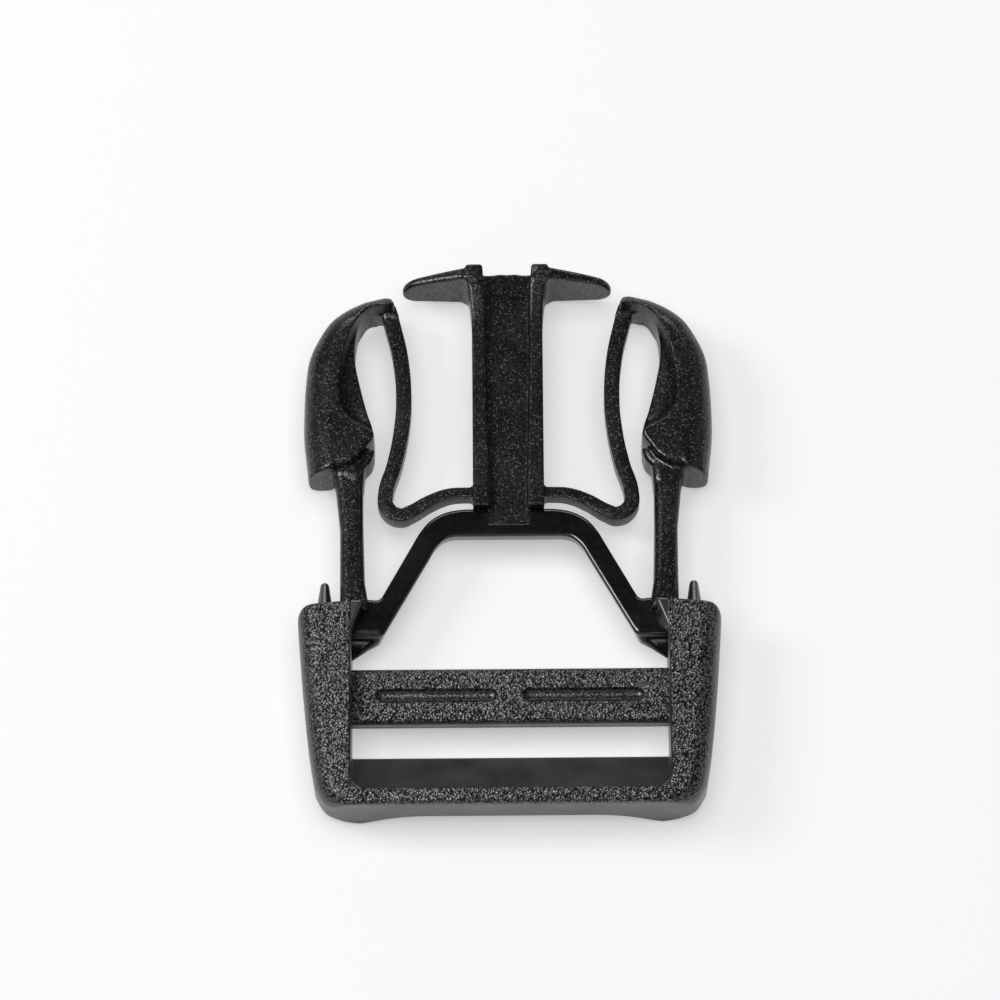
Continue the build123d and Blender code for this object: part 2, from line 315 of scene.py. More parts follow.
def slider_field(x, y, z):
    """Slider bar: a flat bar with rounded long edges and two shallow grooves on each face."""
    x = np.abs(x)
    edge_radius = 0.6
    groove_middle, groove_half, groove_radius = 6.1, 4.45, 0.56
    centre = (BAR_LOW[1] + BAR_HIGH[1]) / 2
    half = (BAR_HIGH[1] - BAR_LOW[1]) / 2
    u = np.abs(y - centre) - half + edge_radius
    v = np.abs(z - MID) - (BAR_HIGH[2] - MID) + edge_radius
    bar = np.hypot(np.maximum(u, 0), np.maximum(v, 0)) + np.minimum(np.maximum(u, v), 0) - edge_radius
    bar = meet(bar, x - SLOT - 0.35, 0.1)
    along = np.maximum(np.abs(x - groove_middle) - groove_half, 0)
    line = np.sqrt(along**2 + (y - centre) ** 2 + (np.abs(z - MID) - BAR_HIGH[2] + MID) ** 2)
    return meet(bar, groove_radius - line, 0.14)


def yoke_field(x, y, z):
    """Yoke: flat-topped bridge and splayed legs, with a low web in the corner of each foot."""
    x = np.abs(x)
    edge = BRIDGE_HIGH[1]
    inner = edge - 2.5
    half = (BRIDGE_HIGH[2] - BRIDGE_LOW[2]) / 2
    shoulder = flowing([
        (2.5, edge), (3.7, edge), (5.25, edge - 0.27), (6.6, edge - 1.02), (7.57, edge - 2.21),
        (8.1, edge - 3.13)])
    outside = distance(rounded(
        [(-6, edge)] + shoulder
        + [(SLOT - 2.35, FRONT + 0.62, 0.6), (SLOT - 1.2, FRONT + 0.75), (SLOT + 0.4, FRONT - 0.2),
           (SLOT + 0.4, -30), (-6, -30)]), x, y)
    elbow = flowing([
        (3.4, inner), (4.4, inner), (5.3, edge - 2.73), (6.05, edge - 3.46),
        (6.6, edge - 4.42), (7.2, edge - 5.47)])
    inside = distance(rounded(
        [(-6, inner)] + elbow
        + [(10.5, FRONT - 2.65, 0.8), (SLOT + 2, FRONT - 2.5), (SLOT + 2, -40), (-6, -40)]), x, y)
    # The inner face is undercut: it draws back towards the ground.
    undercut = 0.14
    inside = inside - undercut * (BRIDGE_HIGH[2] - z)
    plan = np.maximum(outside, -inside)
    top = meet(meet(outside, np.abs(z - MID) - half, 0.5), -inside, 0.4)
    top = np.maximum(top, plan - 0.02)
    # Notch in the upper front edge, where the post's web runs in.
    notch = meet(x - 1.72, edge - 1.43 - y, 0.3)
    notch = meet(notch, MID + 0.7 - z, 0.1)
    top = meet(top, -notch, 0.12)
    # Web in the corner of each foot, whose top falls away to the rear in a hollow curve.
    web = distance(rounded([
        (10.7, FRONT - 1), (10.75, FRONT - 2.7, 0.5), (SLOT - 1.3, FRONT - 3.3, 1.4),
        (SLOT + 0.3, FRONT - 4.4), (SLOT + 0.3, FRONT - 1)]), x, y)
    floor = BRIDGE_LOW[2]
    fall = np.clip((FRONT - 2.1 - y) / 2.0, 0, 1)
    web = meet(meet(web, (z - floor - 0.35 - 1.5 * (1 - fall) ** 1.6) * 0.8, 0.4), floor - z, 0.1)
    return join(top, web, 0.4)


def post_field(x, y, z):
    """Guide post: two flanges on a web, flaring into the nose with its two wings."""
    x = np.abs(x)
    nose = FLANGE_HIGH[1]
    # Flanges, which spread and rise towards the nose.
    flare = np.clip((y - nose + 5.8) / 5.8, 0, 1) ** 2
    out = 2.98 + 0.52 * flare
    inner = 1.57 + 0.28 * ease(2, 17, y) + 0.22 * flare
    wall = np.maximum(x - out, inner - x)
    wall = meet(wall, y - nose, 0.25)
    wall = meet(wall, BRIDGE_HIGH[1] - 0.1 - y, 0.1)
    rise = np.clip((y - (nose - 4.8)) / 4.8, 0, 1)
    half = 2.0 + 1.0 * rise**1.3
    flange = meet(wall, np.abs(z - MID) - half, 0.2)
    # Web between the flanges, lower than they are.
    end = nose - 0.14 + 0.05 * np.sin(x * 3.0)
    web_half = (WEB_HIGH[2] - WEB_LOW[2]) / 2
    web = meet(np.maximum(x - inner - 0.4, y - end), np.abs(z - MID) - web_half, 0.16)
    web = meet(web, BRIDGE_HIGH[1] - 1.41 - y, 0.1)
    post = join(flange, web, 0.14)
    # Wings: swept blades that grow thinner and lower towards their tips.
    tip = WING_HIGH[0]
    sweep = (tip - x) / (tip - 3.2)
    face = nose - 1.05 + 0.85 * np.clip(sweep, 0, 1) ** 0.8
    thick = 0.6 + 0.4 * np.clip(sweep, 0, 1)
    across = np.abs(y - face + thick / 2) - thick / 2
    tall = 1.45 + 1.55 * np.clip(sweep, 0, 1) ** 0.7
    over = (x - tip + 1.2) / 1.2
    up = (np.abs(z - MID) - tall + 1.2) / 1.2
    blade = np.hypot(np.maximum(over, 0), np.maximum(up, 0)) + np.minimum(np.maximum(over, up), 0) - 1
    wing = meet(meet(across, blade * 1.1, 0.35), 2.6 - x, 0.1)
    post = join(post, wing, 0.22 + 0.6 * ease(face - 0.3, face - thick, y))
    # Stubs on the flanges' outer sides, where the springs run in.
    stub = np.maximum(np.abs(y - (BRIDGE_HIGH[1] + 1.47)) - 0.41, np.abs(z - MID) - 0.95)
    stub = np.maximum(stub, np.abs(x - 2.95) - 0.3)
    return join(post, stub, 0.3)


def head_outline():
    """Plan of the latch head with the curved edges of its bow, its lobe and its hole."""
    base = ARM_Y + 11.1
    bow = flowing([
        (11.0, 21.45), (12.05, 21.1), (13.6, 20.35), (14.95, 19.3), (16.0, 17.7), (16.75, 15.9),
        (17.02, 13.84), (17.15, 11.6), (17.16, 9.0), (16.95, 6.8), (16.82, 5.6), (16.8, 5.2)])
    hole = flowing([
        (12.0, 5.2), (12.1, 5.92), (11.45, 6.75), (11.18, 8.1), (11.4, 9.6), (11.85, 11.0), (12.4, 13.2),
        (12.82, 15.3), (12.88, 16.8), (12.68, 18.3), (12.42, 19.2), (11.98, 19.9), (11.35, 20.2),
        (10.8, 20.0), (10.5, 19.5)], 5)
    tip = [(9.3, 19.9), (9.55, 20.5), (9.75, 21.1, 0.3), (10.35, HEAD_HIGH[1] - 0.1, 1.2)]
    barb = [(16.78, base + 0.15, 0.25), (14.4, base + 0.7), (12.25, base - 0.3), (12.1, 5.92)]
    return rounded(tip + bow + barb + hole), bow


HEAD_PLAN, HEAD_BOW = head_outline()
# The head's dome rises inwards from the bow's edge of this outline.
BOW_SIDE = rounded([(4, HEAD_HIGH[1]), (10.3, HEAD_HIGH[1], 1.0)] + HEAD_BOW + [(16.8, -4), (4, -4)])
# The head's scoop falls from the edge of this outline towards the hole.
CREST_LINE = flowing([
    (6.0, 20.3), (8.0, 20.35), (9.5, 20.4), (10.7, 20.4), (11.75, 20.0), (12.7, 18.95), (13.5, 17.2),
    (14.04, 15.2), (14.32, 12.9), (14.1, 11.1), (13.2, 9.8), (11.95, 9.1), (11.2, 8.6), (10.0, 7.6),
    (9.0, 6.6)], 5) + [(10.0, 0.0), (22, 0.0), (22, 26), (8, 26)]
# The thick part of the head ends on this outline, and the thin base beside the arm goes on below it.
LOWER_LINE = [
    (10.5, 9.6), (11.3, 8.3), (12.45, 6.69), (13.15, 6.2), (14.45, 6.07), (15.04, 5.31), (16.33, 4.7),
    (20, 4.4), (20, 26), (6, 26), (6, 9.6)]
ARM_PLAN = rounded([
    (11.7, FRONT - 0.5), (11.75, FRONT + 0.25, 0.3), (12.05, FRONT + 2.2, 2.0), (12.2, 1.6, 4.0),
    (12.2, 7.4), (15.2, 7.4), (14.5, 4.6, 1.5), (14.1, 0.6, 8.0), (14.1, FRONT - 0.5)])


def prong_field(x, y, z):
    """Right prong: flexing arm, latch head with its domed bow and scooped inner side, and spring root."""
    plan = distance(HEAD_PLAN, x, y)
    crest = distance(CREST_LINE, x, y)
    lower = distance(LOWER_LINE, x, y)
    # Dome, from a low rim along the bow up to the full height.
    deep = np.clip(-distance(BOW_SIDE, x, y) / 2.4, 0, 1)
    dome = 0.6 + 2.4 * np.sqrt(1 - (1 - deep) ** 2)
    # Scoop, from the crest down to the edge of the hole.
    near_hole = np.maximum(-plan, 0)
    across = np.clip(crest / np.maximum(crest + near_hole, 1e-3), 0, 1)
    floor = 1.65 - 0.7 * ease(18.4, 19.6, y)
    scoop = floor + (3.0 - floor) * (1 - across) ** 2.2
    height = join(dome, scoop + 0.02, 0.2)
    # The thick part's lower end slants, and reaches furthest at the parting plane.
    lean = ease(12.8, 14.2, x) * (1 - ease(14.6, 16.4, x)) * 1.2
    lower = lower - lean * (1 - np.minimum(np.abs(z - MID) / 3.0, 1))
    cap = meet(meet(plan, lower, 0.3), (np.abs(z - MID) - height) * 0.8, 0.3)
    base = meet(meet(np.maximum(plan, x - 14.3), y - 7.6, 0.1), np.abs(z - MID) - 1.8, 0.5)
    head = join(cap, base, 0.25)
    arm = rolled(distance(ARM_PLAN, x, y), z, 1.8, 0.65, 0.75)
    arm = np.maximum(arm, y - 7.3)
    prong = join(head, arm, 0.35)
    # Root of the spring at the head's tip.
    root = np.maximum(np.abs(x - 9.82 - (y - 19.8) * 0.28) - 0.64, np.abs(y - 20.1) - 0.7)
    root = meet(root, np.abs(z - MID) - 0.95, 0.15)
    return join(prong, root, 0.35)


# ---------------------------------------------------------------- materials

def linear(hex_colour):
    """Linear RGBA of an sRGB hex colour."""
    out = []
    for i in (1, 3, 5):
        c = int(hex_colour[i:i + 2], 16) / 255
        out.append(c / 12.92 if c <= 0.04045 else ((c + 0.055) / 1.055) ** 2.4)
    return (*out, 1.0)


def add(tree, kind, inputs=None, **settings):
    """Adds a node with its settings, and fills or links its inputs."""
    made = tree.nodes.new(kind)
    for name, value in settings.items():
        setattr(made, name, value)
    for key, value in (inputs or {}).items():
        if isinstance(value, bpy.types.NodeSocket):
            tree.links.new(value, made.inputs[key])
        else:
            made.inputs[key].default_value = value
    return made


# Glints are painted highlights: bright points mixed into the base colour. Real glints are finer and closer
# than this: these are as coarse as they need to be to show.
GLINT_MM = 0.16
GLINT_COLOUR = "#97979a"
# Length of the slow unevenness of a moulded face.
WAVE_MM = 4.0


def acetal(name, dark, pale, grain_mm, relief, rough, crest_shine, pit_shine, glints=0.0, masked=False):
    """Black acetal (POM), injection moulded: IOR about 1.48, dense black with the mould's texture on it.

    grain_mm is the spacing of the mould's spark-eroded grain and relief its depth in millimetres. The
    crests of the grain shine more than its pits. glints is the share of the grain's points that are painted
    in the glint colour as painted highlights. A masked finish is grained, with the painted sheen of its
    crests and its painted glints, only where the piece's "grain" value is 1.
    """
    material = bpy.data.materials.new(name)
    material.use_nodes = True
    tree = material.node_tree
    tree.nodes.clear()
    place = add(tree, "ShaderNodeTexCoord").outputs["Object"]
    pebbles = add(tree, "ShaderNodeTexVoronoi", {
        "Vector": place, "Scale": MM / grain_mm, "Smoothness": 0.4}, feature="SMOOTH_F1")
    speckle = add(tree, "ShaderNodeTexNoise", {
        "Vector": place, "Scale": MM / (grain_mm * 1.6), "Detail": 1.5, "Roughness": 0.6})
    waves = add(tree, "ShaderNodeTexNoise", {
        "Vector": place, "Scale": MM / WAVE_MM, "Detail": 3.0, "Roughness": 0.5})
    points = add(tree, "ShaderNodeTexVoronoi", {"Vector": place, "Scale": MM / GLINT_MM})
    pit = add(tree, "ShaderNodeMath", {
        0: pebbles.outputs["Distance"], 1: speckle.outputs["Fac"]}, operation="ADD").outputs[0]
    dot = add(tree, "ShaderNodeMapRange", {
        "Value": points.outputs["Distance"], "From Min": 0.1, "From Max": 0.36, "To Min": 1.0, "To Max": 0.0})
    chosen = add(tree, "ShaderNodeMath", {
        0: add(tree, "ShaderNodeSeparateColor", {"Color": points.outputs["Color"]}).outputs["Red"],
        1: glints}, operation="LESS_THAN")
    glint = add(tree, "ShaderNodeMath", {
        0: dot.outputs["Result"], 1: chosen.outputs[0]}, operation="MULTIPLY").outputs[0]
    crest = add(tree, "ShaderNodeMapRange", {
        "Value": pit, "From Min": 0.6, "From Max": 1.15, "To Min": 1.0, "To Max": 0.0}).outputs["Result"]
    shine = add(tree, "ShaderNodeMapRange", {
        "Value": crest, "To Min": pit_shine, "To Max": crest_shine}).outputs["Result"]
    if masked:
        # The piece's grain value turns on the mould's grain and, with it, the painted sheen of the crests and
        # the painted glints.
        grain_and_sheen = add(tree, "ShaderNodeAttribute", attribute_name="grain").outputs["Fac"]
        pit = add(tree, "ShaderNodeMath", {0: pit, 1: grain_and_sheen}, operation="MULTIPLY").outputs[0]
        glint = add(tree, "ShaderNodeMath", {0: glint, 1: grain_and_sheen}, operation="MULTIPLY").outputs[0]
        crest = add(tree, "ShaderNodeMath", {0: crest, 1: grain_and_sheen}, operation="MULTIPLY").outputs[0]
        shine = add(tree, "ShaderNodeMix", {"Factor": grain_and_sheen, "A": 0.9, "B": shine}).outputs["Result"]
    bump = add(tree, "ShaderNodeBump", {"Height": pit, "Strength": 1.0, "Distance": relief / MM})
    swell = add(tree, "ShaderNodeBump", {
        "Height": waves.outputs["Fac"], "Strength": 0.2, "Distance": 0.01 / MM,
        "Normal": bump.outputs["Normal"]})
    gloss = add(tree, "ShaderNodeMapRange", {
        "Value": waves.outputs["Fac"], "From Min": 0.35, "From Max": 0.65,
        "To Min": rough - 0.04, "To Max": rough + 0.05})
    tint = add(tree, "ShaderNodeMix", {
        "Factor": crest, "A": linear(dark), "B": linear(pale)}, data_type="RGBA")
    # Painted highlights: the chosen grain points take the glint colour.
    colour = add(tree, "ShaderNodeMix", {
        "Factor": glint, "A": tint.outputs["Result"], "B": linear(GLINT_COLOUR)}, data_type="RGBA")
    shader = add(tree, "ShaderNodeBsdfPrincipled", {
        "Base Color": colour.outputs["Result"], "Roughness": gloss.outputs["Result"], "IOR": 1.48,
        "Specular IOR Level": shine, "Normal": swell.outputs["Normal"]})
    add(tree, "ShaderNodeOutputMaterial", {"Surface": shader.outputs["BSDF"]})
    return material


def finish(name):
    """The named finish, made once."""
    if name in bpy.data.materials:
        return bpy.data.materials[name]
    looks = bpy.context.scene.buckle_looks
    dark, pale = looks.resin_dark, looks.resin_pale
    recipes = {
        # Coarse pebbled grain that keeps webbing from slipping: its crests are painted paler, a painted
        # sheen.
        "acetal_pebbled": dict(
            pale=looks.resin_crest_sheen, grain_mm=0.19, relief=0.065, rough=0.36, crest_shine=0.9,
            pit_shine=0.15, glints=0.12, masked=True),
        # Fine spark-eroded grain of the sliding faces: dark satin with small bright points of painted
        # highlight.
        "acetal_fine_grain": dict(
            pale=pale, grain_mm=0.14, relief=0.012, rough=0.32, crest_shine=0.7, pit_shine=0.2, glints=0.34),
        # Polished mould faces: nearly black, with sharp reflections only at the edges.
        "acetal_polished": dict(
            pale=pale, grain_mm=0.5, relief=0.001, rough=0.2, crest_shine=0.5, pit_shine=0.45),
    }
    return acetal(name, dark, **recipes[name])


# ---------------------------------------------------------------- settings

class BuckleLooks(bpy.types.PropertyGroup):
    """Colours and fineness of the buckle plug."""

    resin_dark: bpy.props.StringProperty(
        name="Resin, dark", default="#0b0b0c", description="sRGB colour of the resin in its darkest grains")
    resin_pale: bpy.props.StringProperty(
        name="Resin, pale", default="#161617", description="sRGB colour of the resin in its palest grains")
    # Paler colour painted on the coarse grain's crests: a painted sheen that stands in for the light they
    # catch.
    resin_crest_sheen: bpy.props.StringProperty(
        name="Resin, crest sheen", default="#565658",
        description="sRGB colour of the sheen-painted crests of the coarse grain")
    cell: bpy.props.FloatProperty(
        name="Cell", default=0.13, min=0.0,
        description="Size of the mesh cells of the webbing frame, in millimetres")


class RibbonSizes(bpy.types.PropertyGroup):
    """Sizes of the ribbon springs."""

    root_width: bpy.props.FloatProperty(
        name="Width at the head", default=1.33 / MM, unit="LENGTH",
        description="Width of the ribbon where it leaves the head")
    bend_width: bpy.props.FloatProperty(
        name="Width at the bend", default=1.25 / MM, unit="LENGTH",
        description="Width of the ribbon as it goes into the bend")
    end_width: bpy.props.FloatProperty(
        name="Width at the post", default=0.84 / MM, unit="LENGTH",
        description="Width of the ribbon where it meets the post")
    height: bpy.props.FloatProperty(
        name="Height", default=float(LIMB_HIGH[2] - LIMB_LOW[2]) / MM, unit="LENGTH",
        description="Height of the ribbon, from the CAD")
    edge: bpy.props.FloatProperty(
        name="Edge radius", default=0.16 / MM, unit="LENGTH", description="Rounding of the ribbon's edges")


class StudioSettings(bpy.types.PropertyGroup):
    """Camera and light of the studio."""

    elevation: bpy.props.FloatProperty(
        name="Elevation", default=math.radians(70.0), subtype="ANGLE", description="Camera above the floor")
    roll: bpy.props.FloatProperty(
        name="Roll", default=math.radians(0.45), subtype="ANGLE",
        description="Turn of the camera on its axis")
    away: bpy.props.FloatProperty(
        name="Distance", default=0.5, unit="LENGTH", description="Camera's distance from the object")
    lens: bpy.props.FloatProperty(name="Lens", default=214.5, description="Focal length in millimetres")
    floor_colour: bpy.props.StringProperty(
        name="Floor", default="#fdfdfd", description="sRGB colour of the floor")


# ---------------------------------------------------------------- operators

class BUCKLE_OT_webbing_frame(bpy.types.Operator):
    """Make the webbing frame: two rails, the rear bar and the nibs"""

    bl_idname = "buckle.webbing_frame"
    bl_label = "Webbing frame"

    def execute(self, context):
        points, faces = skin(
            frame_field, (-SIDE, REAR, 0), (SIDE, FRONT + 2.4, TOP), fine(context.scene.buckle_looks.cell))
        made = solid("webbing_frame", points, faces, finish("acetal_pebbled"))
        x, y, z = np.abs(points[:, 0]), points[:, 1], points[:, 2]
        high = ease(TOP - 1.5, TOP - 0.3, np.abs(z - MID) + MID)
        ramp = (x < SLOT + 0.1) & (y > REAR + 1.3)
        mark(made, "grain", high * ~ramp * (y < FRONT + 0.1))
        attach(made, "root")
        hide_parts("left_side_rail", "right_side_rail", "rear_bar", "left_nib", "right_nib")
        return {"FINISHED"}


class BUCKLE_OT_slider_bar(bpy.types.Operator):
    """Make the grooved slider bar"""

    bl_idname = "buckle.slider_bar"
    bl_label = "Slider bar"

    def execute(self, context):
        points, faces = skin(
            slider_field, (-SLOT - 0.4, BAR_LOW[1], BAR_LOW[2]), (SLOT + 0.4, BAR_HIGH[1], BAR_HIGH[2]),
            fine(0.1))
        made = solid("slider_bar_skin", points, faces, finish("acetal_pebbled"))
        height = np.abs(points[:, 2] - MID)
        face = BAR_HIGH[2] - MID
        # Below the flat faces, as in the grooves, the grain value falls to 0.4: less grain relief and less
        # painted sheen there, so the grooves are painted darker as shade.
        mark(made, "grain", ease(0.05, 0.3, height) * (0.4 + 0.6 * ease(face - 0.4, face - 0.1, height)))
        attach(made, "root")
        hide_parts("slider_bar")
        return {"FINISHED"}


class BUCKLE_OT_yoke(bpy.types.Operator):
    """Make the polished yoke that carries the post"""

    bl_idname = "buckle.yoke"
    bl_label = "Yoke"

    def execute(self, context):
        low = (-SLOT - 0.5, FRONT - 4.4, BRIDGE_LOW[2])
        high = (SLOT + 0.5, BRIDGE_HIGH[1], BRIDGE_HIGH[2])
        points, faces = skin(yoke_field, low, high, fine(0.1))
        made = solid("yoke_skin", points, faces, finish("acetal_polished"))
        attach(made, "root")
        nodes = ["yoke_bridge"]
        for side in ("left", "right"):
            nodes += [f"{side}_yoke_leg", f"{side}_yoke_gusset"]
        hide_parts(*nodes)
        return {"FINISHED"}


class BUCKLE_OT_guide_post(bpy.types.Operator):
    """Make the guide post with its flanges, web and nose wings"""

    bl_idname = "buckle.guide_post"
    bl_label = "Guide post"

    def execute(self, context):
        points, faces = skin(
            post_field, (-WING_HIGH[0], BRIDGE_HIGH[1] - 1.5, 0), (WING_HIGH[0], FLANGE_HIGH[1], TOP),
            fine(0.11))
        made = solid("guide_post", points, faces, finish("acetal_fine_grain"))
        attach(made, "root")
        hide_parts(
            "post_web", "left_post_flange", "right_post_flange", "left_nose_wing", "right_nose_wing")
        return {"FINISHED"}


class BUCKLE_OT_prongs(bpy.types.Operator):
    """Make the two prongs, each an arm with its latch head"""

    bl_idname = "buckle.prongs"
    bl_label = "Prongs"

    def execute(self, context):
        low = (9.0, FRONT - 0.5, 0)
        high = (HEAD_HIGH[0] + 0.2, HEAD_HIGH[1], TOP)
        points, faces = skin(prong_field, low, high, fine(0.11))
        for side, way in (("right", 1), ("left", -1)):
            made = solid(f"{side}_prong_skin", points, faces, finish("acetal_fine_grain"), way < 0)
            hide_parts(f"{side}_arm", f"{side}_latch_head")
            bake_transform(made)
        return {"FINISHED"}


def ribbon_tree():
    """Geometry nodes that sweep a ribbon with rounded edges and changing width along a curve."""
    tree = bpy.data.node_groups.new("ribbon_spring", "GeometryNodeTree")
    tree.interface.new_socket("Curve", in_out="INPUT", socket_type="NodeSocketGeometry")
    for name in ("From", "To", "Root Width", "Bend Width", "End Width", "Height", "Edge Radius"):
        tree.interface.new_socket(name, in_out="INPUT", socket_type="NodeSocketFloat")
    tree.interface.new_socket("Finish", in_out="INPUT", socket_type="NodeSocketMaterial")
    tree.interface.new_socket("Ribbon", in_out="OUTPUT", socket_type="NodeSocketGeometry")
    given = add(tree, "NodeGroupInput").outputs
    even = add(tree, "GeometryNodeResampleCurve", {"Curve": given["Curve"], "Count": 300}, mode="COUNT")
    spot = add(tree, "GeometryNodeInputPosition").outputs[0]
    place = add(tree, "ShaderNodeSeparateXYZ", {"Vector": spot}).outputs
    upper = add(tree, "ShaderNodeMapRange", {
        "Value": place["Y"], "From Min": (BEND_Y + 2) / MM, "From Max": (TIP_Y - 0.5) / MM,
        "To Min": given["Bend Width"], "To Max": given["Root Width"]})
    across = add(tree, "ShaderNodeMath", {0: place["X"]}, operation="ABSOLUTE").outputs[0]
    lower = add(tree, "ShaderNodeMapRange", {
        "Value": across, "From Min": 4.0 / MM, "From Max": (BEND_X + 1) / MM,
        "To Min": given["End Width"], "To Max": given["Bend Width"]})
    beyond = add(tree, "FunctionNodeCompare", {0: place["Y"], 1: (BEND_Y + 2.4) / MM}, operation="LESS_THAN")
    width = add(tree, "GeometryNodeSwitch", {
        "Switch": beyond.outputs[0], "False": upper.outputs["Result"], "True": lower.outputs["Result"]},
        input_type="FLOAT")
    middle = add(tree, "GeometryNodeStoreNamedAttribute", {
        "Geometry": even.outputs[0], "Name": "middle", "Value": spot}, data_type="FLOAT_VECTOR")
    widths = add(tree, "GeometryNodeStoreNamedAttribute", {
        "Geometry": middle.outputs[0], "Name": "ribbon_width", "Value": width.outputs[0]}, data_type="FLOAT")
    part = add(tree, "GeometryNodeTrimCurve", {
        "Curve": widths.outputs[0], 2: given["From"], 3: given["To"]}, mode="FACTOR")
    upright = add(tree, "GeometryNodeSetCurveNormal", {"Curve": part.outputs[0]}, mode="Z_UP")
    blank = add(tree, "GeometryNodeCurvePrimitiveQuadrilateral", {
        "Width": given["Root Width"], "Height": given["Height"]})
    soft = add(tree, "GeometryNodeFilletCurve", {
        "Curve": blank.outputs[0], "Count": 4, "Radius": given["Edge Radius"], "Limit Radius": True},
        mode="POLY")
    swept = add(tree, "GeometryNodeCurveToMesh", {
        "Curve": upright.outputs[0], "Profile Curve": soft.outputs[0], "Fill Caps": True})
    line = add(tree, "GeometryNodeInputNamedAttribute", {
        "Name": "middle"}, data_type="FLOAT_VECTOR").outputs[0]
    wide = add(tree, "GeometryNodeInputNamedAttribute", {
        "Name": "ribbon_width"}, data_type="FLOAT").outputs[0]
    from_line = add(tree, "ShaderNodeVectorMath", {0: spot, 1: line}, operation="SUBTRACT").outputs[0]
    flat = add(tree, "ShaderNodeVectorMath", {
        0: from_line, 1: (1.0, 1.0, 0.0)}, operation="MULTIPLY").outputs[0]
    share = add(tree, "ShaderNodeMath", {0: wide, 1: given["Root Width"]}, operation="DIVIDE").outputs[0]
    extra = add(tree, "ShaderNodeMath", {0: share, 1: 1.0}, operation="SUBTRACT").outputs[0]
    shift = add(tree, "ShaderNodeVectorMath", {0: flat, "Scale": extra}, operation="SCALE").outputs[0]
    tapered = add(tree, "GeometryNodeSetPosition", {"Geometry": swept.outputs[0], "Offset": shift})
    made = add(tree, "GeometryNodeRealizeInstances", {"Geometry": tapered.outputs[0]})
    last = add(tree, "GeometryNodeSetMaterial", {"Geometry": made.outputs[0], "Material": given["Finish"]})
    add(tree, "NodeGroupOutput", {"Ribbon": last.outputs[0]})
    return tree


def spring_line(way):
    """Centre line of one ribbon spring, from inside the head round the bend and into the post."""
    x, y = TIP_X, TIP_Y
    u, v = BEND_X, BEND_Y
    points = [
        (x + 0.3, y + 1.1), (x - 0.12, y - 0.5), (x - 0.72, y - 3.3), (x - 0.98, y - 7.0),
        (x - 0.76, y - 9.9), (u + 0.45, v + 4.55), (u + 1.2, v + 1.9), (u + 1.1, v + 0.75), (u, v),
        (u - 0.85, v + 0.27), (u - 2.5, v + 1.24), (u - 4.1, v + 1.86), (u - 5.4, v + 1.97),
        (u - 6.15, v + 1.97)]
    curve = bpy.data.curves.new("spring_line", "CURVE")
    curve.dimensions = "3D"
    curve.resolution_u = 24
    spline = curve.splines.new("BEZIER")
    spline.bezier_points.add(len(points) - 1)
    for knot, (px, py) in zip(spline.bezier_points, points):
        knot.co = (way * px / MM, py / MM, MID / MM)
        knot.handle_left_type = "AUTO"
        knot.handle_right_type = "AUTO"
    made = bpy.data.objects.new("spring_line", curve)
    bpy.context.scene.collection.objects.link(made)
    return made


def ribbon(name, way, tree, first, last, sizes):
    """Plain mesh of one stretch of a ribbon spring."""
    line = spring_line(way)
    sweep = line.modifiers.new("ribbon", "NODES")
    sweep.node_group = tree
    values = {
        "From": first, "To": last, "Root Width": sizes.root_width, "Bend Width": sizes.bend_width,
        "End Width": sizes.end_width, "Height": sizes.height, "Edge Radius": sizes.edge,
        "Finish": finish("acetal_fine_grain")}
    for socket in tree.interface.items_tree:
        if socket.in_out == "INPUT" and socket.name in values:
            sweep[socket.identifier] = values[socket.name]
    depsgraph = bpy.context.evaluated_depsgraph_get()
    mesh = bpy.data.meshes.new_from_object(line.evaluated_get(depsgraph), depsgraph=depsgraph)
    line.modifiers.remove(sweep)
    bpy.data.objects.remove(line)
    mesh.name = name
    mesh.shade_smooth()
    mesh.set_sharp_from_angle(angle=math.radians(15))
    made = bpy.data.objects.new(name, mesh)
    bpy.context.scene.collection.objects.link(made)
    for attribute in ("middle", "ribbon_width"):
        mesh.attributes.remove(mesh.attributes[attribute])
    return made


class BUCKLE_OT_springs(bpy.types.Operator):
    """Make the ribbon springs between the heads and the post"""

    bl_idname = "buckle.springs"
    bl_label = "Ribbon springs"

    def execute(self, context):
        sizes = context.scene.buckle_ribbon
        tree = ribbon_tree()
        # Each spring is made in two stretches, a long one and a bent one.
        split = 0.36
        for side, way in (("right", 1), ("left", -1)):
            long_part = ribbon(f"{side}_long_ribbon", way, tree, 0.0, split, sizes)
            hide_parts(f"{side}_spring_long_limb")
            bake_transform(long_part)
            bent_part = ribbon(f"{side}_bent_ribbon", way, tree, split, 1.0, sizes)
            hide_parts(f"{side}_spring_short_limb")
            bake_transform(bent_part)
        return {"FINISHED"}


def softbox(name, place, aim, size, power):
    """Area light in metres that faces a point."""
    light = bpy.data.lights.new(name, "AREA")
    light.shape = "RECTANGLE"
    light.size, light.size_y = size
    light.energy = power
    made = bpy.data.objects.new(name, light)
    bpy.context.scene.collection.objects.link(made)
    made.location = place
    back = made.location - Vector(aim)
    made.rotation_euler = back.to_track_quat("Z", "Y").to_euler()
    return made


